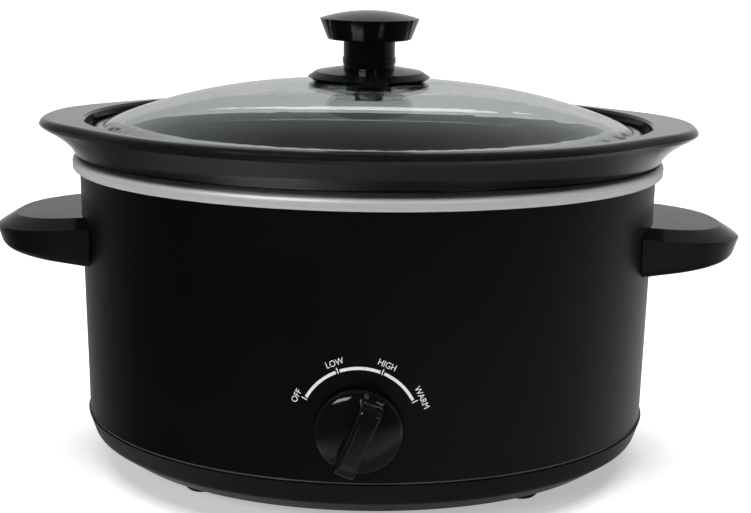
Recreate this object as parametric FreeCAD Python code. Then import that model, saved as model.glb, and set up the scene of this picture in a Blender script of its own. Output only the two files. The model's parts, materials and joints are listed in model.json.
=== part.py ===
"""Oval slow cooker: a lugged stoneware crock hanging in a heated steel housing, under a glass lid."""
import FreeCAD, Part
import math
import os

os.makedirs("parts", exist_ok=True)

V = FreeCAD.Vector

# Housing, in millimetres. Half sizes run from the vertical axis: x to the handles, y to the front.
shell_half_x = 141.5
shell_half_y = 107.2
shell_height = 125.0
shell_wall = 0.8
foot_height = 8.0
foot_radius = 9.5
foot_taper = 1.0
foot_chamfer = 0.8
foot_sink = 3.2
foot_x = 77.0
foot_y = 53.0
base_height = 19.1
base_wall = 2.4
base_lip = 0.9
base_tuck = 14.6
base_wall_height = 10.0
base_wall_draft = 3.0
base_bend = 5.0
base_spigot = 6.0
seam = 0.3

# Silver ring and the well that the crock hangs in
ring_out = 3.4
ring_height = 6.3
ring_skirt = 2.2
ring_round = 2.6
ring_lower_round = 1.4
round_steps = 5
well_gap_x = 8.0
well_gap_y = 14.7
well_taper = 12.0
well_stand = 26.2
well_sheet = 0.8
well_corner = 14.0
ring_setback = 2.0

# Crock
crock_clearance = 2.5
crock_wall = 6.5
crock_floor = 8.0
crock_lift = 3.0
crock_corner = 14.0
bowl_corner = 11.0
rim_height = 17.3
collar_out_x = 2.5
collar_in_y = 5.7
collar_lift = 1.1
collar_flare_x = 4.0
collar_flare_y = 3.5
seat_width = 4.0
lip_nose = 1.5
nose_rise = 0.94
lip_round = 3.4
lug_reach = 13.0
lug_half_width = 44.0
lug_narrowing = 14.0
lug_hollow = 1.8
lug_points = 40
recess_depth = 8.7
recess_in_x = 5.5
recess_in_y = 3.5
recess_round = 1.2
ledge_width = 9.0

# Lid and its knob
lid_clearance = 3.5
lid_glass = 4.0
lid_rim_width = 5.0
lid_rim_thickness = 4.8
lid_crown = 22.6
glass_dip = 0.25
lid_shoulder_in = 16.5
lid_shoulder_rise = 5.6
lid_edge_slope = 0.8
lid_hole_radius = 4.5
gasket_thickness = 1.2
gasket_radius = 11.0
flange_radius = 29.9
flange_top_radius = 26.2
flange_edge_height = 4.7
flange_rise = 2.0
flange_skirt = 1.9
flange_lip = 3.0
flange_edge = 2.2
flange_shoulder = 2.0
stem_radius = 12.6
stem_height = 13.4
bead_out = 0.4
bead_low = 1.8
bead_height = 3.4
bead_slope = 0.3
cap_lower_radius = 20.3
cap_radius = 24.2
cap_height = 10.0
cap_crown = 3.8
cap_round = 1.0
lid_screw_radius = 2.5
lid_screw_head_radius = 7.6
lid_screw_head_height = 3.4
lid_screw_head_round = 2.0
lid_screw_grip = 12.0

# Side handles
handle_drop = 29.0
handle_reach = 43.0
handle_root = 14.0
handle_half_width = 42.0
handle_bevel_drop = 4.0
handle_bevel_in = 9.0
handle_root_height = 23.0
handle_top_slope = 0.10
handle_under_slope = 0.19
handle_draft = 2.5
handle_lower_round = 4.0
handle_wall = 3.2
handle_root_wall = 4.0
handle_boss_radius = 4.2
handle_boss_length = 8.0
handle_boss_end = 2.0
screw_tip_gap = 1.0
handle_screw_y = 18.0
handle_screw_below = 12.5

# Control
dial_above_seam = 25.8
pointer_angle = 68.0
knob_radius = 19.5
knob_gap = 1.0
knob_edge = 3.0
knob_dome = 7.0
knob_reach = 18.0
grip_width = 7.4
grip_draft = 1.6
grip_end_draft = 3.0
grip_chamfer = 1.0
grip_inset = 0.6
pointer_groove = 1.2
shaft_radius = 3.0
shaft_flat = 0.8
shaft_grip = 9.0
shaft_tip = 14.0
nut_room = 1.0
switch_size = 24.0
switch_depth = 13.0
switch_corner = 3.0
bushing_radius = 5.0
bushing_out = 3.4
nut_across = 13.0
nut_thickness = 2.2
blade_length = 6.0
blade_width = 4.0
blade_thickness = 0.8
blade_spread = 7.0
lead_radius = 1.1

# Heater and the pieces under the well
band_low = 46.0
band_height = 48.0
band_thickness = 2.5
terminal_width = 5.0
terminal_height = 8.0
terminal_out = 3.4
strap_above = 28.8
strap_width = 12.0
strap_thickness = 0.6
strap_ear = 8.0
strap_hole_out = 4.8
strap_gap = 5.0
band_nut_across = 5.8
fuse_radius = 2.2
fuse_length = 14.0
fuse_lead_radius = 0.5
fuse_lead_length = 10.0
fuse_below_band = 12.0
clip_length = 6.0
clip_wall = 1.2
stud_radius = 2.5
stud_shoulder_radius = 4.0
shield_drop = 10.0
shield_sheet = 0.6
shield_in = 8.0
boss_radius = 7.0
tie_nut_across = 8.0
tie_nut_height = 4.0

# Cord inlet at the back
gland_above_seam = 23.0
gland_flange_radius = 9.0
gland_flange = 6.0
gland_taper = 2.0
gland_neck_radius = 6.5
gland_bore_radius = 3.75
gland_inside = 8.0

# Fasteners and fits
screw_radius = 1.75
screw_head_radius = 3.4
screw_head_height = 2.2
fit = 0.2
running_fit = 0.05
touch = 0.1

# Heights worked out from the table upwards
base_z = foot_height
base_top_z = base_z + base_height
shell_z = base_top_z + seam
shell_top_z = shell_z + shell_height
flange_z = shell_top_z + well_sheet
ring_z = shell_top_z - ring_skirt
ring_top_z = ring_z + ring_height
well_floor_z = base_z + well_stand
seat_z = ring_top_z
collar_z = seat_z + collar_lift
rim_z = seat_z + rim_height
ledge_z = rim_z - recess_depth
crock_z = well_floor_z + crock_lift
crock_inner_z = crock_z + crock_floor
lid_z = ledge_z + touch
lid_rim_z = lid_z + lid_rim_thickness
crown_z = lid_rim_z + lid_crown
flange_seat_z = crown_z + touch + gasket_thickness + touch
flange_top_z = flange_seat_z - flange_skirt + flange_edge_height
stem_z = flange_top_z + flange_rise
cap_z = stem_z + stem_height
handle_top_z = ring_top_z - handle_drop
handle_crease_z = handle_top_z - handle_bevel_drop
handle_under_z = handle_top_z - handle_root_height
handle_screw_z = handle_top_z - handle_screw_below
dial_z = base_top_z + dial_above_seam
band_z = well_floor_z + band_low
shield_z = well_floor_z - well_sheet - shield_drop
gland_z = base_top_z + gland_above_seam

# Half sizes worked out from the housing
well_half_x = shell_half_x - well_gap_x
well_half_y = shell_half_y - well_gap_y
collar_half_x = shell_half_x + collar_out_x
collar_half_y = shell_half_y - collar_in_y
recess_half_x = collar_half_x - recess_in_x
recess_half_y = collar_half_y - recess_in_y
lid_half_x = recess_half_x - lid_clearance
lid_half_y = recess_half_y - lid_clearance


def well_outline(z, inset):
    """Half sizes of the inside of the well at height z, drawn in by inset."""
    tuck = well_taper * (flange_z - z) / (flange_z - well_floor_z)
    return well_half_x - tuck - inset, well_half_y - tuck - inset, z


def ellipse_wire(half_x, half_y, z):
    return Part.Wire([Part.Ellipse(V(0, 0, z), half_x, half_y).toShape()])


def oval(sections):
    """Solid through level ellipses given as (half x, half y, z), straight from one to the next."""
    return Part.makeLoft([ellipse_wire(*section) for section in sections], True, True)


def upright(half_x, half_y, low, high):
    """Oval solid with upright walls."""
    return oval([(half_x, half_y, low), (half_x, half_y, high)])


def shell_fill(low, high, inset):
    """Solid that fills the housing between two heights, drawn in by inset."""
    return upright(shell_half_x - inset, shell_half_y - inset, low, high)


def pan(low, high, inset, corner):
    """Tapering oval solid of the well's form, its lower edge rounded in a few straight steps."""
    sections = []
    for step in range(round_steps + 1):
        turn = math.pi / 2 * step / round_steps
        z = low + corner * (1 - math.cos(turn))
        sections.append(well_outline(z, inset + corner * (1 - math.sin(turn))))
    return oval(sections + [well_outline(high, inset)])


def well_band(low, high, outer_inset, inner_inset):
    """Band between two insets of the well's tapering wall."""
    over = 1.0
    outer = oval([well_outline(low, outer_inset), well_outline(high, outer_inset)])
    inner = oval([well_outline(low - over, inner_inset), well_outline(high + over, inner_inset)])
    return outer.cut(inner)


def level_edges(shape, z):
    """Edges that lie flat at height z."""
    near = 1e-4
    return [edge for edge in shape.Edges
            if abs(edge.BoundBox.ZMin - z) < near and abs(edge.BoundBox.ZMax - z) < near]


def outermost(edges):
    return max(edges, key=lambda edge: edge.BoundBox.XLength)


def rod(radius, start, direction, length):
    return Part.makeCylinder(radius, length, start, direction)


def hexagon(across, height, start, direction):
    """Six-sided prism, its axis along direction."""
    corner = across / math.sqrt(3)
    points = [V(corner * math.cos(math.radians(60 * k)), corner * math.sin(math.radians(60 * k)), 0)
              for k in range(7)]
    prism = Part.Face(Part.makePolygon(points)).extrude(V(0, 0, height))
    prism.Placement = FreeCAD.Placement(start, FreeCAD.Rotation(V(0, 0, 1), direction))
    return prism


def revolve(points):
    """Solid of revolution about Z from (radius, z) corners."""
    corners = [V(radius, 0, z) for radius, z in points]
    return Part.Face(Part.makePolygon(corners + corners[:1])).revolve(V(0, 0, 0), V(0, 0, 1), 360)


def fused(shapes):
    return shapes[0].multiFuse(shapes[1:]).removeSplitter()


def mirrored(shape):
    return shape.mirror(V(0, 0, 0), V(1, 0, 0))


def corners(x, y):
    return [(sx * x, sy * y) for sx in (-1, 1) for sy in (-1, 1)]


def make_base_tray():
    """Moulded tray: lipped wall, curved-in lower edge, spigot inside the shell, centre boss."""
    lip_x = shell_half_x + base_lip
    lip_y = shell_half_y + base_lip
    wall_z = base_top_z - base_wall_height
    outer = [(lip_x - base_tuck, lip_y - base_tuck, base_z),
             (lip_x - base_wall_draft, lip_y - base_wall_draft, wall_z),
             (lip_x, lip_y, base_top_z)]
    tray = oval(outer)
    tray = tray.makeFillet(base_bend, level_edges(tray, wall_z))
    spigot = shell_wall + fit
    spigot_z = base_top_z + base_spigot
    tray = tray.fuse(shell_fill(base_top_z, spigot_z, spigot))
    hollow = spigot + base_wall
    tuck = base_tuck + base_wall
    draft = hollow + base_wall_draft
    tray = tray.cut(oval([(lip_x - tuck, lip_y - tuck, base_z + base_wall),
                          (shell_half_x - draft, shell_half_y - draft, wall_z + base_wall),
                          (shell_half_x - hollow, shell_half_y - hollow, spigot_z + seam)]))
    boss_height = shield_z - base_z
    tray = tray.fuse(rod(boss_radius, V(0, 0, base_z), V(0, 0, 1), boss_height))
    for x, y in corners(foot_x, foot_y):
        tray = tray.fuse(rod(screw_head_radius, V(x, y, base_z), V(0, 0, 1), 2 * base_wall))
        tray = tray.cut(rod(screw_radius + fit, V(x, y, base_z), V(0, 0, 1), 3 * base_wall))
    tray = tray.cut(rod(stud_radius + fit, V(0, 0, base_z), V(0, 0, 1), boss_height))
    recess = rod(tie_nut_across / math.sqrt(3) + 2 * fit, V(0, 0, base_z), V(0, 0, 1), tie_nut_height)
    return tray.cut(recess).removeSplitter()


def make_foot(x, y):
    """Tapered rubber foot with a chamfered tread and a sunk hole for its screw."""
    sink = screw_radius + fit
    wide = screw_head_radius + fit
    foot = revolve([(wide, 0), (foot_radius - foot_taper - foot_chamfer, 0),
                    (foot_radius - foot_taper, foot_chamfer), (foot_radius, foot_height),
                    (sink, foot_height), (sink, foot_sink), (wide, foot_sink)])
    foot.translate(V(x, y, 0))
    return foot


def make_screw(start, direction, length):
    """Pan-head screw: start is under the head, direction runs down the shank."""
    back = V(direction) * -screw_head_height
    head = rod(screw_head_radius, start + back, direction, screw_head_height)
    return head.fuse(rod(screw_radius, start, direction, length)).removeSplitter()


def make_outer_shell():
    shell = shell_fill(shell_z, shell_top_z, 0.0).cut(shell_fill(shell_z, shell_top_z, shell_wall))
    inside = shell_half_y / 2
    shell = shell.cut(rod(bushing_radius + fit, V(0, -inside, dial_z), V(0, -1, 0), shell_half_y))
    shell = shell.cut(rod(gland_neck_radius + fit, V(0, inside, gland_z), V(0, 1, 0), shell_half_y))
    for side in (-1, 1):
        for y in (-handle_screw_y, handle_screw_y):
            start = V(side * shell_half_x / 2, y, handle_screw_z)
            shell = shell.cut(rod(screw_radius + fit, start, V(side, 0, 0), shell_half_x))
    return shell


def make_rim_ring():
    """Rolled band: a web over the well's flange and a skirt down the outside of the shell."""
    ring = shell_fill(ring_z, ring_top_z, -ring_out)
    ring = ring.makeFillet(ring_round, level_edges(ring, ring_top_z))
    ring = ring.makeFillet(ring_lower_round, level_edges(ring, ring_z))
    skirt_bore = shell_fill(ring_z, flange_z, -fit)
    opening = upright(well_half_x + ring_setback, well_half_y + ring_setback, ring_z, ring_top_z)
    return ring.cut(skirt_bore).cut(opening).removeSplitter()


def make_heating_well():
    """Pressed liner: tapered oval pan with a rounded floor and a flange over the shell."""
    outer = pan(well_floor_z - well_sheet, flange_z, -well_sheet, well_corner + well_sheet)
    flange = shell_fill(shell_top_z, flange_z, 0.0)
    return outer.fuse(flange).cut(pan(well_floor_z, flange_z, 0.0, well_corner)).removeSplitter()


def make_tie_stud():
    top = well_floor_z - well_sheet
    shoulder_z = shield_z + shield_sheet
    shoulder = rod(stud_shoulder_radius, V(0, 0, shoulder_z), V(0, 0, 1), top - shoulder_z)
    return shoulder.fuse(rod(stud_radius, V(0, 0, base_z), V(0, 0, 1), shoulder_z - base_z)).removeSplitter()


def make_tie_nut():
    nut = hexagon(tie_nut_across, tie_nut_height, V(0, 0, base_z), V(0, 0, 1))
    return nut.cut(rod(stud_radius + running_fit, V(0, 0, base_z), V(0, 0, 1), tie_nut_height))


def make_heat_shield():
    half_x, half_y, _ = well_outline(well_floor_z, well_corner + shield_in)
    plate = upright(half_x, half_y, shield_z, shield_z + shield_sheet)
    return plate.cut(rod(stud_radius + fit, V(0, 0, shield_z), V(0, 0, 1), shield_sheet))


def band_face(z):
    """Distance of the heater's outer face from the axis, at the front."""
    return -well_outline(z, -(well_sheet + fit + band_thickness))[1]


def make_heating_band():
    """Band heater with two terminal blocks at the front, above the switch."""
    inner = -(well_sheet + fit)
    band = well_band(band_z, band_z + band_height, inner - band_thickness, inner)
    near = band_face(band_z) + band_thickness / 2
    for x in (-blade_spread, blade_spread):
        corner = V(x - terminal_width / 2, band_face(band_z) - terminal_out, band_z)
        block = Part.makeBox(terminal_width, near - corner.y, terminal_height, corner)
        band = band.fuse(block)
    return band.removeSplitter()


def strap_levels():
    middle = band_z + strap_above
    return middle - strap_width / 2, middle + strap_width / 2


def make_band_strap():
    """Thin strap over the heater, with two ears at the back."""
    low, high = strap_levels()
    inner = -(well_sheet + fit + band_thickness + fit)
    strap = well_band(low, high, inner - strap_thickness, inner)
    back = well_outline(low, inner)[1]
    gap = Part.makeBox(strap_gap, back, strap_width * 2, V(-strap_gap / 2, back / 2, low - strap_width / 2))
    strap = strap.cut(gap)
    for side in (-1, 1):
        x = side * (strap_gap / 2 + strap_thickness / 2)
        corner = V(x - strap_thickness / 2, back + fit / 2, low)
        ear = Part.makeBox(strap_thickness, strap_ear, strap_width, corner)
        strap = strap.fuse(ear)
    hole = rod(screw_radius + fit, V(-strap_gap * 2, *band_screw_place()), V(1, 0, 0), strap_gap * 4)
    return strap.cut(hole).removeSplitter()


def band_screw_place():
    """Height and depth of the strap's screw: (y, z)."""
    low, high = strap_levels()
    back = well_outline(low, -(well_sheet + band_thickness + 2 * fit))[1]
    return back + strap_hole_out, (low + high) / 2


def make_band_screw():
    grip = strap_gap / 2 + strap_thickness
    screw = make_screw(V(-grip, *band_screw_place()), V(1, 0, 0), 2 * grip + screw_head_height)
    nut = hexagon(band_nut_across, screw_head_height, V(grip, *band_screw_place()), V(1, 0, 0))
    return screw.fuse(nut).removeSplitter()


def fuse_place():
    """Centre of the thermal fuse, on the back of the well below the band."""
    z = band_z - fuse_below_band
    reach = fuse_radius + fit + clip_wall
    return V(0, well_outline(z + reach, -well_sheet)[1] + fit + reach, z)


def make_thermal_fuse():
    centre = fuse_place()
    body = rod(fuse_radius, centre - V(fuse_length / 2, 0, 0), V(1, 0, 0), fuse_length)
    total = fuse_length + 2 * fuse_lead_length
    return body.fuse(rod(fuse_lead_radius, centre - V(total / 2, 0, 0), V(1, 0, 0), total)).removeSplitter()


def make_fuse_clip():
    centre = fuse_place()
    reach = fuse_radius + fit + clip_wall
    block = Part.makeBox(clip_length, 2 * reach, 2 * reach, centre - V(clip_length / 2, reach, reach))
    block = block.makeFillet(clip_wall, [e for e in block.Edges if e.BoundBox.XLength > clip_length / 2])
    return block.cut(rod(fuse_radius + touch, centre - V(clip_length, 0, 0), V(1, 0, 0), 2 * clip_length))


def switch_front():
    """Distance of the switch's flat face from the axis: its edges meet the curved wall."""
    half_x = shell_half_x - shell_wall
    half_y = shell_half_y - shell_wall
    return half_y * math.sqrt(1 - (switch_size / 2 / half_x) ** 2) - touch


def make_rotary_switch():
    """Square switch body, threaded bushing through the shell, two blades at the back."""
    front = switch_front()
    low = V(-switch_size / 2, -front, dial_z - switch_size / 2)
    body = Part.makeBox(switch_size, switch_depth, switch_size, low)
    body = body.makeFillet(switch_corner, [e for e in body.Edges if e.BoundBox.YLength > switch_depth / 2])
    reach = shell_half_y + nut_thickness + bushing_out - front
    body = body.fuse(rod(bushing_radius, V(0, -front, dial_z), V(0, -1, 0), reach))
    for x in (-blade_spread, blade_spread):
        corner = V(x - blade_width / 2, -front + switch_depth, dial_z - blade_thickness / 2)
        body = body.fuse(Part.makeBox(blade_width, blade_length, blade_thickness, corner))
    bore_depth = reach + shaft_grip
    bore = rod(shaft_radius + running_fit, V(0, -front - reach, dial_z), V(0, 1, 0), bore_depth)
    return body.cut(bore).removeSplitter()


def make_switch_nut():
    start = V(0, -shell_half_y - touch, dial_z)
    nut = hexagon(nut_across, nut_thickness, start, V(0, -1, 0))
    return nut.cut(rod(bushing_radius + running_fit, start, V(0, -1, 0), nut_thickness))


def make_switch_lead(x):
    """Insulated lead from a switch blade straight up to a terminal of the band."""
    y = -switch_front() + switch_depth + blade_length / 2
    start = dial_z + blade_thickness / 2
    return rod(lead_radius, V(x, y, start), V(0, 0, 1), band_z - start)


def on_dial(shape):
    """Stands a piece built along +Z, pointer to +Y, on the dial's axis at the front of the shell."""
    shape.rotate(V(0, 0, 0), V(0, 0, 1), pointer_angle - 90)
    out = FreeCAD.Placement(V(0, -shell_half_y, dial_z), FreeCAD.Rotation(V(1, 0, 0), 90))
    shape.Placement = out.multiply(shape.Placement)
    return shape


def flatted(radius, flat, low, high):
    """Round bar along Z with a flat on its +Y side."""
    bar = rod(radius, V(0, 0, low), V(0, 0, 1), high - low)
    side = 4 * radius
    return bar.cut(Part.makeBox(side, side, high - low, V(-side / 2, radius - flat, low)))


def make_switch_shaft():
    """Shaft from inside the switch to inside the knob, flatted where the knob grips it."""
    start = switch_front() - shell_half_y - shaft_grip + running_fit
    shoulder = nut_thickness + bushing_out
    shaft = rod(shaft_radius, V(0, 0, start), V(0, 0, 1), shoulder - start)
    return on_dial(shaft.fuse(flatted(shaft_radius, shaft_flat, shoulder, shaft_tip)).removeSplitter())


def make_control_knob():
    """Domed skirt with a tapered grip bar and a pointer groove, hollow behind for the nut."""
    skirt = Part.makeCylinder(knob_radius, knob_edge, V(0, 0, knob_gap))
    rise = knob_dome - knob_edge
    bulge = (knob_radius ** 2 + rise ** 2) / (2 * rise)
    top = knob_gap + knob_dome
    dome = Part.makeSphere(bulge, V(0, 0, top - bulge))
    dome = dome.common(Part.makeCylinder(knob_radius, knob_dome, V(0, 0, knob_gap)))
    foot = grip_rectangle(grip_width / 2 + grip_draft, knob_radius, knob_gap + knob_edge - fit)
    crest = grip_rectangle(grip_width / 2, knob_radius - grip_end_draft, knob_reach)
    grip = Part.makeLoft([foot, crest], True, True)
    grip = grip.makeChamfer(grip_chamfer, level_edges(grip, knob_reach))
    grip = grip.common(Part.makeCylinder(knob_radius - grip_inset, knob_reach))
    knob = fused([skirt, dome, grip])
    groove = Part.makeBox(pointer_groove, knob_radius, pointer_groove,
                          V(-pointer_groove / 2, knob_radius / 2, knob_reach - pointer_groove / 2))
    room_radius = nut_across / math.sqrt(3) + nut_room
    room = rod(room_radius, V(0, 0, 0), V(0, 0, 1), nut_thickness + bushing_out + nut_room)
    bore = flatted(shaft_radius + running_fit, shaft_flat, 0.0, shaft_tip + running_fit)
    return on_dial(knob.cut(groove).cut(room).cut(bore))


def grip_rectangle(half_x, half_y, z):
    points = [V(-half_x, -half_y, z), V(half_x, -half_y, z), V(half_x, half_y, z), V(-half_x, half_y, z)]
    return Part.makePolygon(points + points[:1])


def make_cord_gland():
    """Bushing in the back wall: a flange outside, a neck through the wall, a bore for the cord."""
    back = shell_half_y + touch
    gland = Part.makeCone(gland_flange_radius, gland_flange_radius - gland_taper, gland_flange,
                          V(0, back, gland_z), V(0, 1, 0))
    gland = gland.fuse(rod(gland_neck_radius, V(0, back, gland_z), V(0, -1, 0), gland_inside))
    length = gland_inside + gland_flange
    return gland.cut(rod(gland_bore_radius, V(0, back - gland_inside, gland_z), V(0, 1, 0), length))


def lug_outline(rise, inset, z):
    """Outline of the crock's collar: an ellipse at rise 0, drawn out into two lugs by rise 1."""
    half_x = collar_half_x + collar_flare_x * rise - inset
    half_y = collar_half_y + collar_flare_y * rise - inset
    reach = lug_reach * rise ** lug_hollow
    width = lug_half_width - lug_narrowing * (1 - rise)
    points = []
    for k in range(lug_points):
        turn = 2 * math.pi * k / lug_points
        x = half_x * math.cos(turn)
        y = half_y * math.sin(turn)
        points.append(V(x + math.copysign(reach * math.exp(-(y / width) ** 4), x), y, z))
    curve = Part.BSplineCurve()
    curve.interpolate(points, True)
    return Part.Wire([curve.toShape()])


def make_collar():
    """Flaring collar with a rounded lip, on a flat seat that rests on the ring."""
    lip_z = rim_z - lip_round - lip_nose
    shares = (0.0, 0.25, 0.5, 0.75, 1.0)
    flare = [lug_outline(nose_rise * share, 0.0, collar_z + (lip_z - collar_z) * share) for share in shares]
    lip = [lug_outline(nose_rise, 0.0, lip_z)]
    for step in range(round_steps + 1):
        turn = math.pi / 2 * step / round_steps
        lip.append(lug_outline(1.0, lip_round * (1 - math.cos(turn)), rim_z - lip_round * (1 - math.sin(turn))))
    seat_in = ring_setback + seat_width
    seat = upright(well_half_x + seat_in, well_half_y + seat_in, seat_z, ledge_z)
    return Part.makeLoft(flare, True, False).fuse(Part.makeLoft(lip, True, True)).fuse(seat)


def make_stoneware_crock():
    """Tapered bowl under the collar, with a mouth and a recessed ledge for the lid."""
    inset = crock_clearance + crock_wall
    mouth_x = recess_half_x - ledge_width
    mouth_y = recess_half_y - ledge_width
    hollow = [pan(crock_inner_z, seat_z, inset, bowl_corner),
              oval([well_outline(seat_z, inset), (mouth_x, mouth_y, ledge_z)]),
              oval([(recess_half_x, recess_half_y, ledge_z),
                    (recess_half_x, recess_half_y, rim_z - recess_round),
                    (recess_half_x + recess_round, recess_half_y + recess_round, rim_z)])]
    crock = make_collar().fuse(pan(crock_z, ledge_z, crock_clearance, crock_corner))
    for space in hollow:
        crock = crock.cut(space)
    return crock.removeSplitter()


def make_glass_lid():
    """Domed oval glass with a rolled rim and a hole for the knob's screw."""
    rim_x = lid_half_x - lid_rim_width
    shoulder_x = lid_half_x - lid_shoulder_in
    dome = [V(0, 0, crown_z), V(shoulder_x, 0, lid_rim_z + lid_shoulder_rise), V(rim_x, 0, lid_rim_z)]
    outer = Part.BSplineCurve()
    outer.interpolate(Points=dome, InitialTangent=V(1, 0, 0), FinalTangent=V(1, 0, -lid_edge_slope))
    drop = V(0, 0, -lid_glass)
    inner = outer.copy()
    inner.translate(drop)
    bead = lid_rim_thickness / 2
    bead_x = lid_half_x - bead
    top = V(bead_x, 0, lid_rim_z)
    bottom = V(bead_x, 0, lid_z)
    bead_arc = Part.Arc(top, V(lid_half_x, 0, lid_z + bead), bottom)
    inside = dome[2] + drop
    edges = [outer.toShape(), Part.makeLine(dome[2], top), bead_arc.toShape(),
             Part.makeLine(bottom, V(inside.x, 0, lid_z)), Part.makeLine(V(inside.x, 0, lid_z), inside),
             inner.toShape(), Part.makeLine(dome[0] + drop, dome[0])]
    glass = Part.Face(Part.Wire(Part.__sortEdges__(edges))).revolve(V(0, 0, 0), V(0, 0, 1), 360)
    squeeze = FreeCAD.Matrix()
    squeeze.A22 = lid_half_y / lid_half_x
    glass = glass.transformGeometry(squeeze)
    return glass.cut(rod(lid_hole_radius, V(0, 0, lid_z), V(0, 0, 1), 2 * lid_crown))


def make_lid_gaskets():
    """Soft washers on the top and the underside of the glass."""
    washers = []
    for z in (crown_z + touch, crown_z - lid_glass - glass_dip - touch - gasket_thickness):
        washer = rod(gasket_radius, V(0, 0, z), V(0, 0, 1), gasket_thickness)
        washers.append(washer.cut(rod(lid_screw_radius + fit, V(0, 0, z), V(0, 0, 1), gasket_thickness)))
    return washers


def make_knob_flange():
    """Disc with a bevelled edge and a skirt round the gasket."""
    edge_z = flange_seat_z - flange_skirt
    disc = revolve([(lid_screw_radius + fit, flange_seat_z), (gasket_radius + fit, flange_seat_z),
                    (flange_radius - flange_lip, edge_z), (flange_radius, edge_z + flange_edge),
                    (flange_top_radius, flange_top_z), (stem_radius + flange_shoulder, stem_z),
                    (lid_screw_radius + fit, stem_z)])
    return disc


def make_lid_knob():
    """Round stem with a raised bead, and a flared cap with a crowned top."""
    bead_z = stem_z + bead_low
    bead = stem_radius + bead_out
    profile = [(0, stem_z), (stem_radius, stem_z), (stem_radius, bead_z), (bead, bead_z + bead_slope),
               (bead, bead_z + bead_height - bead_slope), (stem_radius, bead_z + bead_height),
               (stem_radius, cap_z), (cap_lower_radius, cap_z), (cap_radius, cap_z + cap_height),
               (0, cap_z + cap_height)]
    knob = revolve(profile)
    under = level_edges(knob, cap_z)
    knob = knob.makeFillet(cap_round, [outermost(under)])
    bulge = (cap_radius ** 2 + cap_crown ** 2) / (2 * cap_crown)
    crown = Part.makeSphere(bulge, V(0, 0, cap_z + cap_height + cap_crown - bulge))
    over = Part.makeCylinder(cap_radius, 2 * cap_crown, V(0, 0, cap_z + cap_height))
    knob = knob.fuse(crown.common(over)).removeSplitter()
    return knob.cut(rod(lid_screw_radius + running_fit, V(0, 0, stem_z), V(0, 0, 1), lid_screw_grip + fit))


def make_lid_screw():
    """Screw from below: a round head under the lower gasket, its shank up into the stem."""
    head_top = crown_z - lid_glass - glass_dip - 2 * touch - gasket_thickness
    head = rod(lid_screw_head_radius, V(0, 0, head_top), V(0, 0, -1), lid_screw_head_height)
    head = head.makeFillet(lid_screw_head_round, level_edges(head, head_top - lid_screw_head_height))
    shank = rod(lid_screw_radius, V(0, 0, head_top), V(0, 0, 1), stem_z + lid_screw_grip - head_top)
    return head.fuse(shank).removeSplitter()


def handle_section(inset, height, slope):
    """Oval of the handle's plan, drawn in by inset, on a plane that slopes with x."""
    centre = shell_half_x - handle_root
    oval_wire = Part.Ellipse(V(centre, 0, 0), handle_reach + handle_root - inset, handle_half_width - inset)
    tilt = FreeCAD.Matrix()
    tilt.A31 = slope
    tilt.A34 = height - slope * shell_half_x
    return Part.Wire([oval_wire.toShape().transformGeometry(tilt)])


def make_right_handle():
    """Hollow wing: bevelled top, tapering to the tip, open below, with two screw bosses."""
    crease = handle_section(0.0, handle_crease_z, -handle_top_slope)
    top = handle_section(handle_bevel_in, handle_top_z, -handle_top_slope)
    under = handle_section(handle_draft, handle_under_z, handle_under_slope)
    wing = Part.makeLoft([under, crease, top], True, True)
    low_edges = [e for e in wing.Edges if e.BoundBox.ZMin < handle_crease_z - handle_root_height / 2]
    wing = wing.makeFillet(handle_lower_round, [outermost([e for e in low_edges if e.Closed])])
    pocket = Part.makeLoft([handle_section(handle_draft + handle_wall + handle_lower_round / 2,
                                           handle_under_z - handle_root_height, handle_under_slope),
                            handle_section(handle_wall + handle_bevel_in / 2,
                                           handle_crease_z - handle_wall, -handle_top_slope)], True, True)
    low = handle_under_z - handle_root_height
    pocket = pocket.cut(shell_fill(low, ring_z, -(fit + handle_root_wall)))
    wing = wing.cut(pocket)
    for y in (-handle_screw_y, handle_screw_y):
        start = V(shell_half_x / 2, y, handle_screw_z)
        reach = shell_half_x / 2 + handle_root_wall + handle_boss_length
        wing = wing.fuse(rod(handle_boss_radius, start, V(1, 0, 0), reach))
        wing = wing.cut(rod(screw_radius + running_fit, start, V(1, 0, 0), reach - handle_boss_end))
    return wing.cut(shell_fill(low, ring_z, -fit))


def make_handle_screws():
    """Four screws, their heads against the inside of the shell."""
    screws = []
    reach = handle_screw_y + screw_head_radius
    half_x = shell_half_x - shell_wall
    half_y = shell_half_y - shell_wall
    seat = half_x * math.sqrt(1 - (reach / half_y) ** 2) - touch
    tip = shell_half_x + handle_root_wall + handle_boss_length - handle_boss_end - screw_tip_gap
    length = tip - seat
    for side in (-1, 1):
        for y in (-handle_screw_y, handle_screw_y):
            screws.append(make_screw(V(side * seat, y, handle_screw_z), V(side, 0, 0), length))
    return screws


def make_foot_screw(x, y):
    return make_screw(V(x, y, foot_sink), V(0, 0, 1), foot_height + 2 * base_wall - foot_sink)


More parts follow.
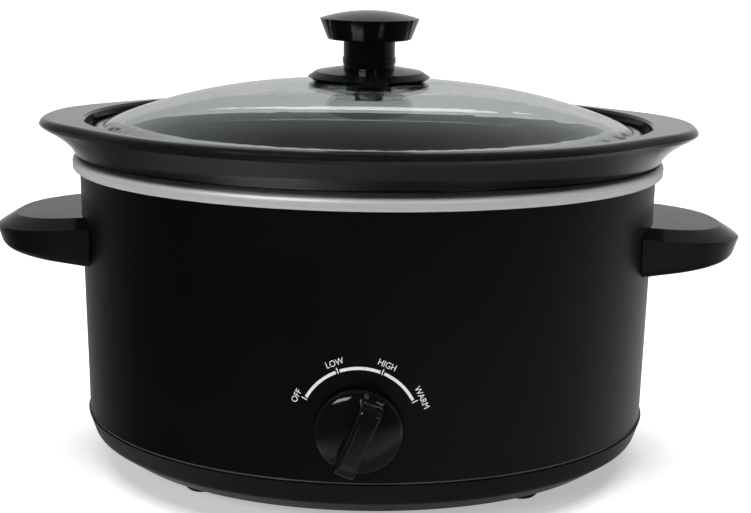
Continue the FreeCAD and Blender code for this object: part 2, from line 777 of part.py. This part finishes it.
right_handle = make_right_handle()
nodes = {
    "base_tray": make_base_tray(),
    "feet": Part.makeCompound([make_foot(x, y) for x, y in corners(foot_x, foot_y)]),
    "foot_screws": Part.makeCompound([make_foot_screw(x, y) for x, y in corners(foot_x, foot_y)]),
    "outer_shell": make_outer_shell(),
    "rim_ring": make_rim_ring(),
    "heating_well": make_heating_well(),
    "tie_stud": make_tie_stud(),
    "tie_nut": make_tie_nut(),
    "heat_shield": make_heat_shield(),
    "heating_band": make_heating_band(),
    "band_strap": make_band_strap(),
    "band_screw": make_band_screw(),
    "thermal_fuse": make_thermal_fuse(),
    "fuse_clip": make_fuse_clip(),
    "rotary_switch": make_rotary_switch(),
    "switch_nut": make_switch_nut(),
    "switch_leads": Part.makeCompound([make_switch_lead(-blade_spread), make_switch_lead(blade_spread)]),
    "cord_gland": make_cord_gland(),
    "right_handle": right_handle,
    "left_handle": mirrored(right_handle),
    "handle_screws": Part.makeCompound(make_handle_screws()),
    "stoneware_crock": make_stoneware_crock(),
    "glass_lid": make_glass_lid(),
    "lid_gaskets": Part.makeCompound(make_lid_gaskets()),
    "knob_flange": make_knob_flange(),
    "lid_knob": make_lid_knob(),
    "lid_screw": make_lid_screw(),
    "switch_shaft": make_switch_shaft(),
    "control_knob": make_control_knob(),
}

# The origin is under the middle of the whole box, so the axis stands back by half the odd reach
axis_y = (knob_reach - touch - gland_flange) / 2
for name, shape in nodes.items():
    shape.translate(V(0, axis_y, 0))
    shape.exportStep("parts/%s.step" % name)
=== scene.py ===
"""Looks of the oval slow cooker: materials, dial print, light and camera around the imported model."""
import json
import math

import bpy
from mathutils import Matrix, Vector


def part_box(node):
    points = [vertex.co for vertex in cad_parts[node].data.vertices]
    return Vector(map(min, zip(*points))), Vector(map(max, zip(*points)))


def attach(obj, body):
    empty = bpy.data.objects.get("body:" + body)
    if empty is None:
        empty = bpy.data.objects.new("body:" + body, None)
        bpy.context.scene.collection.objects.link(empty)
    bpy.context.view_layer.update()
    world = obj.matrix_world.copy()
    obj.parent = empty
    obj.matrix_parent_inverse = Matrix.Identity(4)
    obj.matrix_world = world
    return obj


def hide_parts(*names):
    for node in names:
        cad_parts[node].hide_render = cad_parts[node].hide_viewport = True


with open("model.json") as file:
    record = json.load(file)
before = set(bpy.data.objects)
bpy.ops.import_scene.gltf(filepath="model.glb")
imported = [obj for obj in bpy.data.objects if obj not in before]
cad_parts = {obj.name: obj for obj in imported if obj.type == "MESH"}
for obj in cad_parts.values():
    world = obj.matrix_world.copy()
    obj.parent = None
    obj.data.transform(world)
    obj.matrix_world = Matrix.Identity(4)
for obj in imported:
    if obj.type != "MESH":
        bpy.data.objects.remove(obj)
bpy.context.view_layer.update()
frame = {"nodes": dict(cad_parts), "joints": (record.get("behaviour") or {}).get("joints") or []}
nodes = frame["nodes"]

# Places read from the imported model, in metres
shell_low, shell_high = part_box("outer_shell")
SHELL_X = (shell_high.x - shell_low.x) / 2
SHELL_Y = (shell_high.y - shell_low.y) / 2
AXIS_Y = (shell_high.y + shell_low.y) / 2
FRONT_Y = AXIS_Y - SHELL_Y
dial_joint = next(joint for joint in frame["joints"] if joint["name"] == "dial_turn")
DIAL_Z = dial_joint["pos_m"][2]

# Dial print: lengths in metres, squeezes as shares, angles in degrees; settings are word, tick angle, word angle
PRINT_LIFT = 0.00006
PRINT_DEPTH = 0.00005
PRINT_SQUEEZE = 0.955
PRINT_RISE = 0.0009
ARC_RADIUS = 0.0275
ARC_WIDTH = 0.0014
ARC_GAP = 2.0
ARC_STEPS = 24
TICK_HALF = 0.00024
TICK_IN, TICK_OUT = 0.0009, 0.0018
LETTER_SIZE = 0.0041
LETTER_SQUEEZE = 0.88
WORD_STAND = 0.0028
SETTINGS = (("OFF", 152.7, 154.2), ("LOW", 110.8, 110.8), ("HIGH", 68.0, 66.8), ("WARM", 26.0, 26.2))

# Dial form: lengths in metres, angles in degrees; shoulder and bar edge are exponents, the draft is a share
POINTER_ANGLE = 68.0
SHOULDER = 2.6
DOME_RISE = 0.0056
SKIRT_EDGE = 0.0004
ROOM_RADIUS, ROOM_END = 0.0085, 0.0066
BORE_RADIUS, BORE_END = 0.00305, 0.01405
BAR_HALF_LENGTH, BAR_HALF_WIDTH = 0.0166, 0.0050
BAR_FOOT = 0.0030
BAR_DRAFT = 0.16
BAR_EDGE = 0.22
BAR_CROWN = 0.0009
DIAL_COUNT = 120
DOME_STEPS = 18
BAR_RINGS = 22
SHARP_ANGLE = 40.0

# Hem on the lower edge of the shell, radius in metres
HEM_RADIUS = 0.0004
HEM_STEPS, HEM_SIDES = 180, 8

# Handle form, lengths in metres: the plan oval it starts from, the exponent that squares it, lifts and depths
WING_CENTRE, WING_LENGTH, WING_HALF_WIDTH = 0.1275, 0.0570, 0.0420
WING_SQUARE = 2.45
WING_LIFT = 0.0016
WING_NOSE = 0.0046
WING_ROOT = 0.0020
WING_EASE = 0.018
WING_CREASE = 0.0045

# Floor: lengths in metres, and the strength of its own light
FLOOR_HALF = 200.0
FLOOR_SINK = 0.0002
FLOOR_GLOW = 0.42

# Point that the softboxes face, in metres
LIGHT_AIM = (0, 0, 0.1)

# Camera fitted to the photograph: angles in radians, places in metres, focal length and width in pixels
CAMERA_PITCH, CAMERA_ROLL, CAMERA_YAW = 0.25229, 0.01483, -0.01545
CAMERA_SIDE, CAMERA_BACK, CAMERA_HEIGHT = 0.0044948, 0.60376, 0.25882
FOCAL_PIXELS, PHOTO_WIDTH = 1227.53, 751
SENSOR_WIDTH = 36.0


# Helpers

def add_object(name, data):
    thing = bpy.data.objects.new(name, data)
    bpy.context.scene.collection.objects.link(thing)
    return thing


def add_mesh(name, points, faces, material):
    mesh = bpy.data.meshes.new(name)
    mesh.from_pydata(points, [], faces)
    mesh.update()
    mesh.materials.append(material)
    return add_object(name, mesh)


def fill_ramp(ramp, stops):
    """Sets a colour ramp's stops, given as (position, colour); a new ramp has two."""
    for index, (position, colour) in enumerate(stops):
        stop = ramp.elements[index] if index < 2 else ramp.elements.new(position)
        stop.position = position
        stop.color = (*colour, 1.0)


def circle(count):
    """Angles in radians, evenly round a full turn."""
    return [2 * math.pi * k / count for k in range(count)]


def turned(x, y, degrees):
    angle = math.radians(degrees)
    return x * math.cos(angle) - y * math.sin(angle), x * math.sin(angle) + y * math.cos(angle)


def polar(radius, degrees):
    return radius * math.cos(math.radians(degrees)), radius * math.sin(math.radians(degrees))


def signed_power(value, power):
    return math.copysign(abs(value) ** power, value)


def clamped(value):
    return min(max(value, 0.0), 1.0)


def ring_faces(rings, count):
    """Quads between rings of count points, following one another."""
    faces = []
    for ring in range(rings - 1):
        for k in range(count):
            a, b = ring * count + k, ring * count + (k + 1) % count
            faces.append((a, b, b + count, a + count))
    return faces


def tube_faces(rings, count):
    """Quads between rings of count points, with a cap at either end."""
    last = (rings - 1) * count
    return ring_faces(rings, count) + [tuple(range(count))[::-1], tuple(range(last, last + count))]


# Materials

class Look:
    """A Principled material with short ways to add procedural detail."""

    def __init__(self, name, **sockets):
        self.material = bpy.data.materials.new(name)
        self.material.use_nodes = True
        self.tree = self.material.node_tree
        self.shader = self.tree.nodes["Principled BSDF"]
        for socket, value in sockets.items():
            self.shader.inputs[socket.replace("_", " ")].default_value = value
        self.place = self.add("ShaderNodeTexCoord").outputs["Object"]

    def add(self, kind):
        return self.tree.nodes.new(kind)

    def link(self, output, target):
        self.tree.links.new(output, target)

    def stretched(self, scale):
        mapping = self.add("ShaderNodeMapping")
        mapping.inputs["Scale"].default_value = scale
        self.link(self.place, mapping.inputs["Vector"])
        return mapping.outputs["Vector"]

    def noise(self, scale, detail=3.0, rough=0.5, place=None):
        node = self.add("ShaderNodeTexNoise")
        node.inputs["Scale"].default_value = scale
        node.inputs["Detail"].default_value = detail
        node.inputs["Roughness"].default_value = rough
        self.link(place or self.place, node.inputs["Vector"])
        return node.outputs["Fac"]

    def cells(self, scale):
        node = self.add("ShaderNodeTexVoronoi")
        node.inputs["Scale"].default_value = scale
        self.link(self.place, node.inputs["Vector"])
        return node.outputs["Distance"]

    def spread(self, value, low, high, start=0.3, end=0.7):
        """Maps start..end of a texture to low..high."""
        node = self.add("ShaderNodeMapRange")
        for name, number in (("From Min", start), ("From Max", end), ("To Min", low), ("To Max", high)):
            node.inputs[name].default_value = number
        self.link(value, node.inputs["Value"])
        return node.outputs["Result"]

    def tint(self, value, *stops):
        """Base colour by a ramp over a texture: stops are (position, colour)."""
        node = self.add("ShaderNodeValToRGB")
        fill_ramp(node.color_ramp, stops)
        self.link(value, node.inputs["Fac"])
        self.link(node.outputs["Color"], self.shader.inputs["Base Color"])

    def roughness(self, value, low, high):
        self.link(self.spread(value, low, high), self.shader.inputs["Roughness"])

    def bump(self, *layers):
        """Stacks bumps given as (texture, strength, height in metres)."""
        normal = None
        for height, strength, distance in layers:
            node = self.add("ShaderNodeBump")
            node.inputs["Strength"].default_value = strength
            node.inputs["Distance"].default_value = distance
            self.link(height, node.inputs["Height"])
            if normal:
                self.link(normal, node.inputs["Normal"])
            normal = node.outputs["Normal"]
        self.link(normal, self.shader.inputs["Normal"])

    def wear(self, *names):
        """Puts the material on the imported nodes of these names."""
        for name in names:
            data = nodes[name].data
            data.materials.clear()
            data.materials.append(self.material)


def enamel():
    look = Look("matte_black_enamel", Specular_IOR_Level=0.3)
    look.tint(look.noise(14, 4), (0.3, (0.0012, 0.0012, 0.0015)), (0.7, (0.0020, 0.0020, 0.0023)))
    look.roughness(look.noise(9, 5), 0.31, 0.37)
    look.bump((look.noise(1400, 2), 0.10, 0.00008), (look.noise(160, 2), 0.05, 0.0003))
    return look


# Lighter grey paint for the hem: a painted highlight that stands in for the thin light line along the seam.
def hem_highlight_look():
    look = Look("hem_painted_highlight", Specular_IOR_Level=0.4)
    look.tint(look.noise(60, 5, 0.6), (0.3, (0.030, 0.030, 0.031)), (0.7, (0.060, 0.060, 0.062)))
    look.roughness(look.noise(90, 4), 0.38, 0.50)
    look.bump((look.noise(900, 2), 0.10, 0.00005))
    return look


def moulded():
    look = Look("satin_moulded_black", Specular_IOR_Level=0.28)
    look.tint(look.noise(30, 4), (0.3, (0.0036, 0.0036, 0.0040)), (0.7, (0.0058, 0.0058, 0.0062)))
    look.roughness(look.noise(22, 4), 0.34, 0.44)
    look.bump((look.cells(1500), 0.12, 0.00008), (look.noise(260, 3), 0.06, 0.0002))
    return look


def polished(name, shine):
    look = Look(name, Specular_IOR_Level=shine)
    look.tint(look.noise(40, 3), (0.3, (0.0024, 0.0028, 0.0034)), (0.7, (0.0040, 0.0044, 0.0052)))
    look.roughness(look.noise(55, 4), 0.06, 0.11)
    look.bump((look.noise(48, 2), 0.03, 0.0005), (look.noise(1800, 2), 0.05, 0.00004))
    return look


def dial_black():
    look = Look("dial_black", Specular_IOR_Level=0.5)
    look.tint(look.noise(40, 3), (0.3, (0.0030, 0.0034, 0.0038)), (0.7, (0.0050, 0.0054, 0.0060)))
    look.roughness(look.noise(55, 4), 0.05, 0.09)
    look.bump((look.noise(60, 2), 0.02, 0.0004), (look.noise(1800, 2), 0.04, 0.00004))
    return look


def satin_silver():
    """Brushed silver, more metallic where it faces up."""
    look = Look("satin_silver")
    facing = look.add("ShaderNodeSeparateXYZ")
    look.link(look.add("ShaderNodeNewGeometry").outputs["Normal"], facing.inputs["Vector"])
    look.link(look.spread(facing.outputs["Z"], 0.45, 1.0, 0.35, 0.85), look.shader.inputs["Metallic"])
    brushed = look.noise(1.0, 4, 0.6, look.stretched((25, 25, 2600)))
    look.tint(brushed, (0.25, (0.53, 0.54, 0.55)), (0.75, (0.65, 0.66, 0.67)))
    look.roughness(brushed, 0.36, 0.48)
    look.bump((brushed, 0.06, 0.00008), (look.noise(900, 2), 0.05, 0.00005))
    return look


def pressed_sheet():
    look = Look("pressed_sheet", Metallic=1.0)
    spangle = look.cells(55)
    look.tint(spangle, (0.1, (0.50, 0.51, 0.52)), (0.8, (0.64, 0.65, 0.66)))
    look.roughness(look.noise(18, 5), 0.34, 0.52)
    look.bump((look.noise(420, 3), 0.08, 0.0001), (spangle, 0.03, 0.0002))
    return look


def glaze():
    look = Look("brown_black_glaze", Coat_Weight=0.6, Coat_Roughness=0.06, Specular_IOR_Level=0.55)
    speckle = look.noise(420, 4, 0.65)
    look.tint(speckle, (0.35, (0.0046, 0.0046, 0.0042)), (0.62, (0.0082, 0.0076, 0.0066)),
              (0.80, (0.0240, 0.0180, 0.0130)))
    look.roughness(look.noise(26, 4), 0.10, 0.19)
    look.bump((look.noise(55, 3), 0.10, 0.0009), (look.noise(700, 2), 0.05, 0.00008))
    return look


def tempered_glass():
    look = Look("tempered_glass", Transmission_Weight=1.0, IOR=1.5, Base_Color=(0.90, 0.95, 0.935, 1.0),
                Specular_Tint=(0.88, 1.0, 0.98, 1.0))
    look.roughness(look.noise(30, 3), 0.0, 0.015)
    look.bump((look.noise(16, 2), 0.012, 0.0008))
    return look


def soft_rubber():
    look = Look("soft_rubber", Specular_IOR_Level=0.3)
    look.tint(look.noise(60, 4), (0.3, (0.010, 0.010, 0.010)), (0.7, (0.020, 0.020, 0.020)))
    look.roughness(look.noise(80, 4), 0.60, 0.78)
    look.bump((look.noise(1300, 3), 0.2, 0.0001))
    return look


def plated_steel():
    look = Look("plated_steel", Metallic=1.0)
    turning = look.noise(1.0, 3, 0.6, look.stretched((700, 700, 2400)))
    look.tint(turning, (0.3, (0.46, 0.47, 0.49)), (0.7, (0.62, 0.63, 0.65)))
    look.roughness(look.noise(150, 4), 0.26, 0.42)
    look.bump((turning, 0.06, 0.00008))
    return look


def woven_wrap():
    look = Look("woven_wrap", Specular_IOR_Level=0.3)
    weave = look.add("ShaderNodeTexChecker")
    weave.inputs["Scale"].default_value = 900
    look.link(look.place, weave.inputs["Vector"])
    look.tint(look.noise(90, 5), (0.3, (0.46, 0.42, 0.34)), (0.7, (0.62, 0.58, 0.50)))
    look.roughness(look.noise(40, 3), 0.75, 0.9)
    look.bump((weave.outputs["Fac"], 0.25, 0.0002), (look.noise(500, 3), 0.2, 0.0001))
    return look


def fired_ceramic():
    look = Look("fired_ceramic", Specular_IOR_Level=0.4)
    look.tint(look.noise(300, 4), (0.3, (0.62, 0.59, 0.52)), (0.7, (0.74, 0.71, 0.64)))
    look.roughness(look.noise(200, 3), 0.5, 0.65)
    look.bump((look.noise(1500, 3), 0.15, 0.0001))
    return look


def phenolic():
    look = Look("phenolic_brown", Specular_IOR_Level=0.4)
    look.tint(look.noise(120, 4), (0.3, (0.020, 0.015, 0.011)), (0.7, (0.034, 0.026, 0.019)))
    look.roughness(look.noise(90, 3), 0.4, 0.55)
    look.bump((look.noise(1100, 3), 0.12, 0.0001))
    return look


def white_ink():
    look = Look("white_ink", Specular_IOR_Level=0.3)
    look.tint(look.noise(900, 3), (0.3, (0.66, 0.66, 0.66)), (0.7, (0.80, 0.80, 0.80)))
    look.roughness(look.noise(700, 3), 0.45, 0.6)
    look.bump((look.noise(2500, 2), 0.1, 0.00003))
    return look


enamel().wear("outer_shell")
moulded().wear("base_tray")
polished("polished_black", shine=0.5).wear("lid_knob")
polished("gloss_black", shine=0.22).wear("right_handle", "left_handle", "knob_flange")
satin_silver().wear("rim_ring")
pressed_sheet().wear("heating_well", "heat_shield")
glaze().wear("stoneware_crock")
tempered_glass().wear("glass_lid")
soft_rubber().wear("feet", "lid_gaskets", "switch_leads", "cord_gland")
plated_steel().wear("foot_screws", "tie_stud", "tie_nut", "band_strap", "band_screw", "switch_nut",
                    "handle_screws", "lid_screw", "switch_shaft", "fuse_clip")
woven_wrap().wear("heating_band")
fired_ceramic().wear("thermal_fuse")
phenolic().wear("rotary_switch")
ink = white_ink()
gloss = dial_black()
gloss.wear("control_knob")
# Hem paint: lighter grey that stands in for a highlight line (painted highlight).
hem_highlight = hem_highlight_look()


# Dial print, laid on the curved front of the shell

def on_shell(across, up, lift):
    """Point on the front of the shell, across and up from the dial's axis."""
    side = PRINT_SQUEEZE * across
    front = SHELL_Y * math.sqrt(1 - (side / SHELL_X) ** 2)
    return Vector((side, AXIS_Y - front - lift, DIAL_Z + PRINT_RISE + up))


def print_piece(name, outlines, faces):
    """Thin closed solid from flat (across, up) corners and their faces, wrapped on the shell."""
    count = len(outlines)
    points = [on_shell(across, up, PRINT_LIFT + PRINT_DEPTH) for across, up in outlines]
    points += [on_shell(across, up, PRINT_LIFT) for across, up in outlines]
    edges = dict.fromkeys((a, b) for face in faces for a, b in zip(face, face[1:] + face[:1]))
    walls = [(b, a, a + count, b + count) for a, b in edges if (b, a) not in edges]
    back = [tuple(corner + count for corner in reversed(face)) for face in faces]
    piece = add_mesh(name, points, faces + back + walls, ink.material)
    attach(piece, "base")


def print_arc(name, start, end):
    """Plain arc from start to end in degrees."""
    outlines = []
    for k in range(ARC_STEPS + 1):
        angle = start + (end - start) * k / ARC_STEPS
        outlines += [polar(ARC_RADIUS - ARC_WIDTH / 2, angle), polar(ARC_RADIUS + ARC_WIDTH / 2, angle)]
    print_piece(name, outlines, [(2 * k, 2 * k + 2, 2 * k + 3, 2 * k + 1) for k in range(ARC_STEPS)])


def print_tick(name, angle):
    """Short bar across the arc's line."""
    side = polar(TICK_HALF, angle + 90)
    foot, head = polar(ARC_RADIUS - TICK_IN, angle), polar(ARC_RADIUS + TICK_OUT, angle)
    corners = [(end[0] + sign * side[0], end[1] + sign * side[1])
               for end, sign in ((foot, -1), (foot, 1), (head, 1), (head, -1))]
    print_piece(name, corners, [(0, 3, 2, 1)])


def print_word(word, angle):
    """Setting's name, standing outside the arc and turned with it."""
    text = bpy.data.curves.new(word.lower(), "FONT")
    text.body = word
    text.size = LETTER_SIZE
    text.align_x = "CENTER"
    letters = add_object(word.lower(), text)
    bpy.context.view_layer.update()
    flat = letters.evaluated_get(bpy.context.evaluated_depsgraph_get()).to_mesh()
    outlines = [turned(LETTER_SQUEEZE * vertex.co.x, ARC_RADIUS + WORD_STAND + vertex.co.y, angle - 90)
                for vertex in flat.vertices]
    faces = [tuple(face.vertices) for face in flat.polygons]
    letters.to_mesh_clear()
    bpy.data.objects.remove(letters)
    print_piece("print_" + word.lower(), outlines, faces)


for word, tick_angle, word_angle in SETTINGS:
    print_word(word, word_angle)
    print_tick("tick_" + word.lower(), tick_angle)
tick_angles = [tick_angle for _, tick_angle, _ in SETTINGS]
for number, (start, end) in enumerate(zip(tick_angles, tick_angles[1:]), 1):
    print_arc("dial_arc_%d" % number, start - ARC_GAP, end + ARC_GAP)


# Dial, hem and handles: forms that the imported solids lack

def dial_point(across, along, out):
    """Point given across and along the dial's bar and out from the shell."""
    x, z = turned(across, along, POINTER_ANGLE - 90)
    return Vector((x, FRONT_Y - out, DIAL_Z + z))


def skirt_profile(radius, back):
    """(radius, out) from the end of the bore, along the hollow back and over the rounded shoulder."""
    profile = [(BORE_RADIUS, BORE_END), (BORE_RADIUS, ROOM_END), (ROOM_RADIUS, ROOM_END), (ROOM_RADIUS, back),
               (radius - SKIRT_EDGE, back), (radius, back + SKIRT_EDGE)]
    for step in range(DOME_STEPS):
        angle = math.pi / 2 * step / DOME_STEPS
        profile.append((radius * math.cos(angle) ** (2 / SHOULDER),
                        back + 2 * SKIRT_EDGE + DOME_RISE * math.sin(angle) ** (2 / SHOULDER)))
    return profile


def bar_points(reach):
    """Rings of a soft-edged bar, wider at its foot and crowned along its length."""
    points = []
    for ring in range(BAR_RINGS):
        rise = math.pi / 2 * ring / BAR_RINGS
        slim = math.cos(rise) ** BAR_EDGE
        out = BAR_FOOT + (reach - BAR_FOOT) * math.sin(rise) ** BAR_EDGE
        flare = 1 + BAR_DRAFT * (reach - out) / reach
        for turn in circle(DIAL_COUNT):
            along = BAR_HALF_LENGTH * slim * flare * signed_power(math.sin(turn), BAR_EDGE)
            across = BAR_HALF_WIDTH * slim * flare * signed_power(math.cos(turn), BAR_EDGE)
            points.append(dial_point(across, along, out - BAR_CROWN * (along / BAR_HALF_LENGTH) ** 2))
    return points


def make_dial():
    """Rounded skirt with a hollow back, joined to a grip bar along the pointer's direction."""
    low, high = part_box("control_knob")
    profile = skirt_profile((high.x - low.x) / 2, FRONT_Y - high.y)
    skirt = [dial_point(radius * math.cos(turn), radius * math.sin(turn), out)
             for radius, out in profile for turn in circle(DIAL_COUNT)]
    dial = add_mesh("dial_with_grip", skirt, tube_faces(len(profile), DIAL_COUNT), gloss.material)
    bar = add_mesh("grip_bar", bar_points(FRONT_Y - low.y), tube_faces(BAR_RINGS, DIAL_COUNT), gloss.material)
    union = dial.modifiers.new("union", "BOOLEAN")
    union.operation = "UNION"
    union.object = bar
    bpy.context.view_layer.update()
    joined = bpy.data.meshes.new_from_object(dial.evaluated_get(bpy.context.evaluated_depsgraph_get()))
    dial.modifiers.clear()
    dial.data = joined
    bpy.data.objects.remove(bar)
    joined.shade_smooth()
    joined.set_sharp_from_angle(angle=math.radians(SHARP_ANGLE))
    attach(dial, "dial")
    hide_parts("control_knob")


def make_hem():
    """Rolled hem along the lower edge of the shell, in lighter grey paint: a painted highlight line along the
    seam.
    """
    points = []
    for turn in circle(HEM_STEPS):
        for roll in circle(HEM_SIDES):
            grow = HEM_RADIUS * math.cos(roll)
            x = (SHELL_X + grow) * math.cos(turn)
            y = AXIS_Y + (SHELL_Y + grow) * math.sin(turn)
            points.append(Vector((x, y, shell_low.z + HEM_RADIUS * (1 + math.sin(roll)))))
    last = (HEM_STEPS - 1) * HEM_SIDES
    closing = [(last + j, last + (j + 1) % HEM_SIDES, (j + 1) % HEM_SIDES, j) for j in range(HEM_SIDES)]
    hem = add_mesh("shell_hem", points, ring_faces(HEM_STEPS, HEM_SIDES) + closing, hem_highlight.material)
    hem.data.shade_smooth()
    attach(hem, "base")


def blunted(point, crease, depth_below):
    """Place of a handle's point after squaring the plan and raising and deepening the nose."""
    out, across = abs(point.x), point.y - AXIS_Y
    seat = SHELL_X * math.sqrt(1 - (across / SHELL_Y) ** 2)
    ease = clamped((out - seat) / WING_EASE)
    ease = ease * ease * (3 - 2 * ease)
    u, v = (out - WING_CENTRE) / WING_LENGTH, across / WING_HALF_WIDTH
    square = math.hypot(u, v) / (abs(u) ** WING_SQUARE + abs(v) ** WING_SQUARE) ** (1 / WING_SQUARE)
    grow = 1 + ease * (square - 1)
    depth = clamped((crease - point.z) / depth_below)
    far = max(u, 0.0)
    rise = WING_LIFT * far ** 2 + depth * (WING_ROOT * (1 - far) - WING_NOSE * far ** 2)
    x = math.copysign(WING_CENTRE + (out - WING_CENTRE) * grow, point.x)
    return x, AXIS_Y + across * grow, point.z + rise


def make_wing(name):
    """Blunter copy of a handle, its root still on the shell."""
    low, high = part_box(name)
    mesh = nodes[name].data.copy()
    mesh.name = "blunt_" + name
    crease = high.z - WING_CREASE
    for vertex in mesh.vertices:
        vertex.co = blunted(vertex.co, crease, crease - low.z)
    wing = add_object("blunt_" + name, mesh)
    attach(wing, "base")
    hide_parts(name)


make_dial()
make_hem()
make_wing("right_handle")
make_wing("left_handle")


# Stage, light and camera

def make_floor():
    """Wide pale floor just under the feet, glowing a little so that the shadow stays light."""
    surface = Look("pale_floor", Roughness=0.8, Specular_IOR_Level=0.1, Base_Color=(0.86, 0.86, 0.86, 1.0),
                   Emission_Color=(1.0, 1.0, 1.0, 1.0), Emission_Strength=FLOOR_GLOW)
    corners = [(x * FLOOR_HALF, y * FLOOR_HALF, -FLOOR_SINK) for x, y in ((-1, -1), (1, -1), (1, 1), (-1, 1))]
    floor = add_mesh("floor", corners, [(0, 1, 2, 3)], surface.material)
    floor.visible_glossy = False


def make_world():
    """Soft studio: pale behind, dark overhead and in front, a faint glow from below, white to the camera."""
    world = bpy.data.worlds.new("studio")
    bpy.context.scene.world = world
    world.use_nodes = True
    tree = world.node_tree
    place = tree.nodes.new("ShaderNodeTexCoord")

    def ramp(weights, stops):
        """Greys by direction: 0 to 1 along the weighted axes."""
        weigh = tree.nodes.new("ShaderNodeVectorMath")
        weigh.operation = "DOT_PRODUCT"
        weigh.inputs[1].default_value = weights
        tree.links.new(place.outputs["Generated"], weigh.inputs[0])
        shift = tree.nodes.new("ShaderNodeMath")
        shift.inputs[1].default_value = 0.5
        tree.links.new(weigh.outputs["Value"], shift.inputs[0])
        node = tree.nodes.new("ShaderNodeValToRGB")
        fill_ramp(node.color_ramp, [(position, (grey, grey, grey)) for position, grey in stops])
        tree.links.new(shift.outputs["Value"], node.inputs["Fac"])
        return node.outputs["Color"]

    def mix(kind, first, second):
        node = tree.nodes.new("ShaderNodeMix")
        node.data_type = "RGBA"
        node.blend_type = kind
        node.inputs["Factor"].default_value = 1.0
        tree.links.new(first, node.inputs["A"])
        tree.links.new(second, node.inputs["B"])
        return node.outputs["Result"]

    backdrop = ramp((0.09, 0.5, 0.0), ((0.0, 0.008), (0.38, 0.025), (0.60, 0.17), (0.75, 0.28), (1.0, 0.60)))
    height = ramp((0.0, 0.0, 0.5), ((0.0, 0.15), (0.22, 0.25), (0.32, 1.0), (0.73, 1.0), (0.88, 1.0),
                                    (0.965, 0.62), (1.0, 0.20)))
    glow = ramp((-0.10, 0.0, 0.5), ((0.0, 0.10), (0.15, 0.16), (0.215, 0.42), (0.29, 0.20), (0.345, 0.0)))
    light = mix("ADD", mix("MULTIPLY", backdrop, height), glow)
    seen = tree.nodes.new("ShaderNodeMix")
    seen.data_type = "RGBA"
    seen.inputs["B"].default_value = (1.0, 1.0, 1.0, 1.0)
    tree.links.new(tree.nodes.new("ShaderNodeLightPath").outputs["Is Camera Ray"], seen.inputs["Factor"])
    tree.links.new(light, seen.inputs["A"])
    tree.links.new(seen.outputs["Result"], tree.nodes["Background"].inputs["Color"])


def make_sun(strength, spread):
    """Overhead soft light that whitens the floor evenly; its spread is in degrees."""
    data = bpy.data.lights.new("overhead", "SUN")
    data.energy = strength
    data.angle = math.radians(spread)
    lamp = add_object("overhead", data)
    lamp.visible_glossy = False


def make_box(name, place, size, power):
    """Small softbox, for the highlights on the dial, the lip and the knob."""
    data = bpy.data.lights.new(name, "AREA")
    data.shape = "RECTANGLE"
    data.size, data.size_y = size
    data.energy = power
    lamp = add_object(name, data)
    lamp.location = place
    lamp.rotation_euler = (Vector(LIGHT_AIM) - Vector(place)).to_track_quat("-Z", "Y").to_euler()


def make_camera():
    """Front view from a little above the lid, as in the photograph."""
    data = bpy.data.cameras.new("camera")
    data.sensor_width = SENSOR_WIDTH
    data.lens = FOCAL_PIXELS * SENSOR_WIDTH / PHOTO_WIDTH
    camera = add_object("camera", data)
    turn = Matrix.Rotation(-CAMERA_YAW, 3, "Z")
    view = turn @ Vector((0, math.cos(CAMERA_PITCH), -math.sin(CAMERA_PITCH)))
    up = turn @ Vector((0, math.sin(CAMERA_PITCH), math.cos(CAMERA_PITCH)))
    right = turn @ Vector((1, 0, 0))
    tilted_right = right * math.cos(CAMERA_ROLL) + up * math.sin(CAMERA_ROLL)
    tilted_up = up * math.cos(CAMERA_ROLL) - right * math.sin(CAMERA_ROLL)
    place = turn @ Vector((CAMERA_SIDE, -CAMERA_BACK, CAMERA_HEIGHT)) + Vector((0, AXIS_Y, 0))
    axes = Matrix((tilted_right, tilted_up, -view)).transposed()
    camera.matrix_world = Matrix.Translation(place) @ axes.to_4x4()
    bpy.context.scene.camera = camera


make_floor()
make_world()
make_sun(strength=3.5, spread=50)
make_box("left_box", place=(-0.70, -1.20, 0.85), size=(0.75, 0.40), power=6.5)
make_box("right_box", place=(0.75, -1.25, 0.75), size=(0.30, 0.22), power=0.7)
make_camera()
bpy.context.scene.view_settings.view_transform = "Standard"
